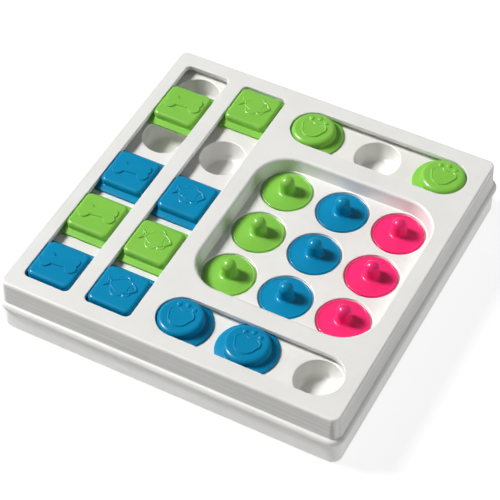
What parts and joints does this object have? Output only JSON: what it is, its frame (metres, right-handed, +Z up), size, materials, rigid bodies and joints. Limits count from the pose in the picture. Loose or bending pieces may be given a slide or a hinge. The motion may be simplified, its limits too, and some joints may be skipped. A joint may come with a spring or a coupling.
{
  "type": "cat puzzle feeder",
  "caption": "Square puzzle feeder board with straight and round-ended tracks of sliding covers over food cups, and a recess of lift-off lids with peg knobs.",
  "frame": {"origin": "middle of the board, on the plane its rubber feet stand on", "axes": "+Z up, +X to the right along the front edge with the straight tracks at -X, +Y to the back"},
  "size_m": [0.3116, 0.312, 0.0582],
  "materials": {
    "white_plastic": "satin moulded plastic",
    "green_plastic": "satin moulded plastic",
    "blue_plastic": "satin moulded plastic",
    "pink_plastic": "satin moulded plastic",
    "foot_rubber": "soft matt rubber",
    "screw_steel": "zinc plated"
  },
  "bodies": {
    "board": {"base_tray": "white_plastic", "top_cover": "white_plastic", "bone_track_tray": "white_plastic", "fish_track_tray": "white_plastic", "back_track_tray": "white_plastic", "front_track_tray": "white_plastic", "lid_tray": "white_plastic", "rubber_feet": "foot_rubber", "tray_screws": "screw_steel", "base_screws": "screw_steel"},
    "bone_slider_1": {"bone_slider_1": "blue_plastic"},
    "bone_slider_2": {"bone_slider_2": "green_plastic"},
    "bone_slider_3": {"bone_slider_3": "blue_plastic"},
    "bone_slider_4": {"bone_slider_4": "green_plastic"},
    "fish_slider_1": {"fish_slider_1": "blue_plastic"},
    "fish_slider_2": {"fish_slider_2": "green_plastic"},
    "fish_slider_3": {"fish_slider_3": "blue_plastic"},
    "fish_slider_4": {"fish_slider_4": "green_plastic"},
    "back_paw_slider_1": {"back_paw_slider_1": "green_plastic"},
    "back_paw_slider_2": {"back_paw_slider_2": "green_plastic"},
    "front_paw_slider_1": {"front_paw_slider_1": "blue_plastic"},
    "front_paw_slider_2": {"front_paw_slider_2": "blue_plastic"},
    "green_lid_1": {"green_lid_1": "green_plastic"},
    "green_lid_2": {"green_lid_2": "green_plastic"},
    "green_lid_3": {"green_lid_3": "green_plastic"},
    "blue_lid_1": {"blue_lid_1": "blue_plastic"},
    "blue_lid_2": {"blue_lid_2": "blue_plastic"},
    "blue_lid_3": {"blue_lid_3": "blue_plastic"},
    "pink_lid_1": {"pink_lid_1": "pink_plastic"},
    "pink_lid_2": {"pink_lid_2": "pink_plastic"},
    "pink_lid_3": {"pink_lid_3": "pink_plastic"}
  },
  "joints": [
    {"name": "bone_slider_1_slide", "type": "slide", "parent": "board", "child": "bone_slider_1", "axis": [0, 1, 0], "range_m": [0, 0.0103]},
    {"name": "bone_slider_2_slide", "type": "slide", "parent": "board", "child": "bone_slider_2", "axis": [0, 1, 0], "range_m": [-0.0103, 0.0051]},
    {"name": "bone_slider_3_slide", "type": "slide", "parent": "board", "child": "bone_slider_3", "axis": [0, 1, 0], "range_m": [-0.0051, 0.0389]},
    {"name": "bone_slider_4_slide", "type": "slide", "parent": "board", "child": "bone_slider_4", "axis": [0, 1, 0], "range_m": [-0.0389, 0.025]},
    {"name": "fish_slider_1_slide", "type": "slide", "parent": "board", "child": "fish_slider_1", "axis": [0, 1, 0], "range_m": [0, 0.0059]},
    {"name": "fish_slider_2_slide", "type": "slide", "parent": "board", "child": "fish_slider_2", "axis": [0, 1, 0], "range_m": [-0.0059, 0.0059]},
    {"name": "fish_slider_3_slide", "type": "slide", "parent": "board", "child": "fish_slider_3", "axis": [0, 1, 0], "range_m": [-0.0059, 0.0675]},
    {"name": "fish_slider_4_slide", "type": "slide", "parent": "board", "child": "fish_slider_4", "axis": [0, 1, 0], "range_m": [-0.0675, 0]},
    {"name": "back_paw_slider_1_slide", "type": "slide", "parent": "board", "child": "back_paw_slider_1", "axis": [1, 0, 0], "range_m": [0, 0.0687]},
    {"name": "back_paw_slider_2_slide", "type": "slide", "parent": "board", "child": "back_paw_slider_2", "axis": [1, 0, 0], "range_m": [-0.0687, 0]},
    {"name": "front_paw_slider_1_slide", "type": "slide", "parent": "board", "child": "front_paw_slider_1", "axis": [1, 0, 0], "range_m": [0, 0.0065]},
    {"name": "front_paw_slider_2_slide", "type": "slide", "parent": "board", "child": "front_paw_slider_2", "axis": [1, 0, 0], "range_m": [-0.0065, 0.0621]},
    {"name": "green_lid_1_lift", "type": "slide", "parent": "board", "child": "green_lid_1", "axis": [0, 0, 1], "range_m": [0, 0.03]},
    {"name": "green_lid_2_lift", "type": "slide", "parent": "board", "child": "green_lid_2", "axis": [0, 0, 1], "range_m": [0, 0.03]},
    {"name": "green_lid_3_lift", "type": "slide", "parent": "board", "child": "green_lid_3", "axis": [0, 0, 1], "range_m": [0, 0.03]},
    {"name": "blue_lid_1_lift", "type": "slide", "parent": "board", "child": "blue_lid_1", "axis": [0, 0, 1], "range_m": [0, 0.03]},
    {"name": "blue_lid_2_lift", "type": "slide", "parent": "board", "child": "blue_lid_2", "axis": [0, 0, 1], "range_m": [0, 0.03]},
    {"name": "blue_lid_3_lift", "type": "slide", "parent": "board", "child": "blue_lid_3", "axis": [0, 0, 1], "range_m": [0, 0.03]},
    {"name": "pink_lid_1_lift", "type": "slide", "parent": "board", "child": "pink_lid_1", "axis": [0, 0, 1], "range_m": [0, 0.03]},
    {"name": "pink_lid_2_lift", "type": "slide", "parent": "board", "child": "pink_lid_2", "axis": [0, 0, 1], "range_m": [0, 0.03]},
    {"name": "pink_lid_3_lift", "type": "slide", "parent": "board", "child": "pink_lid_3", "axis": [0, 0, 1], "range_m": [0, 0.03]}
  ]
}
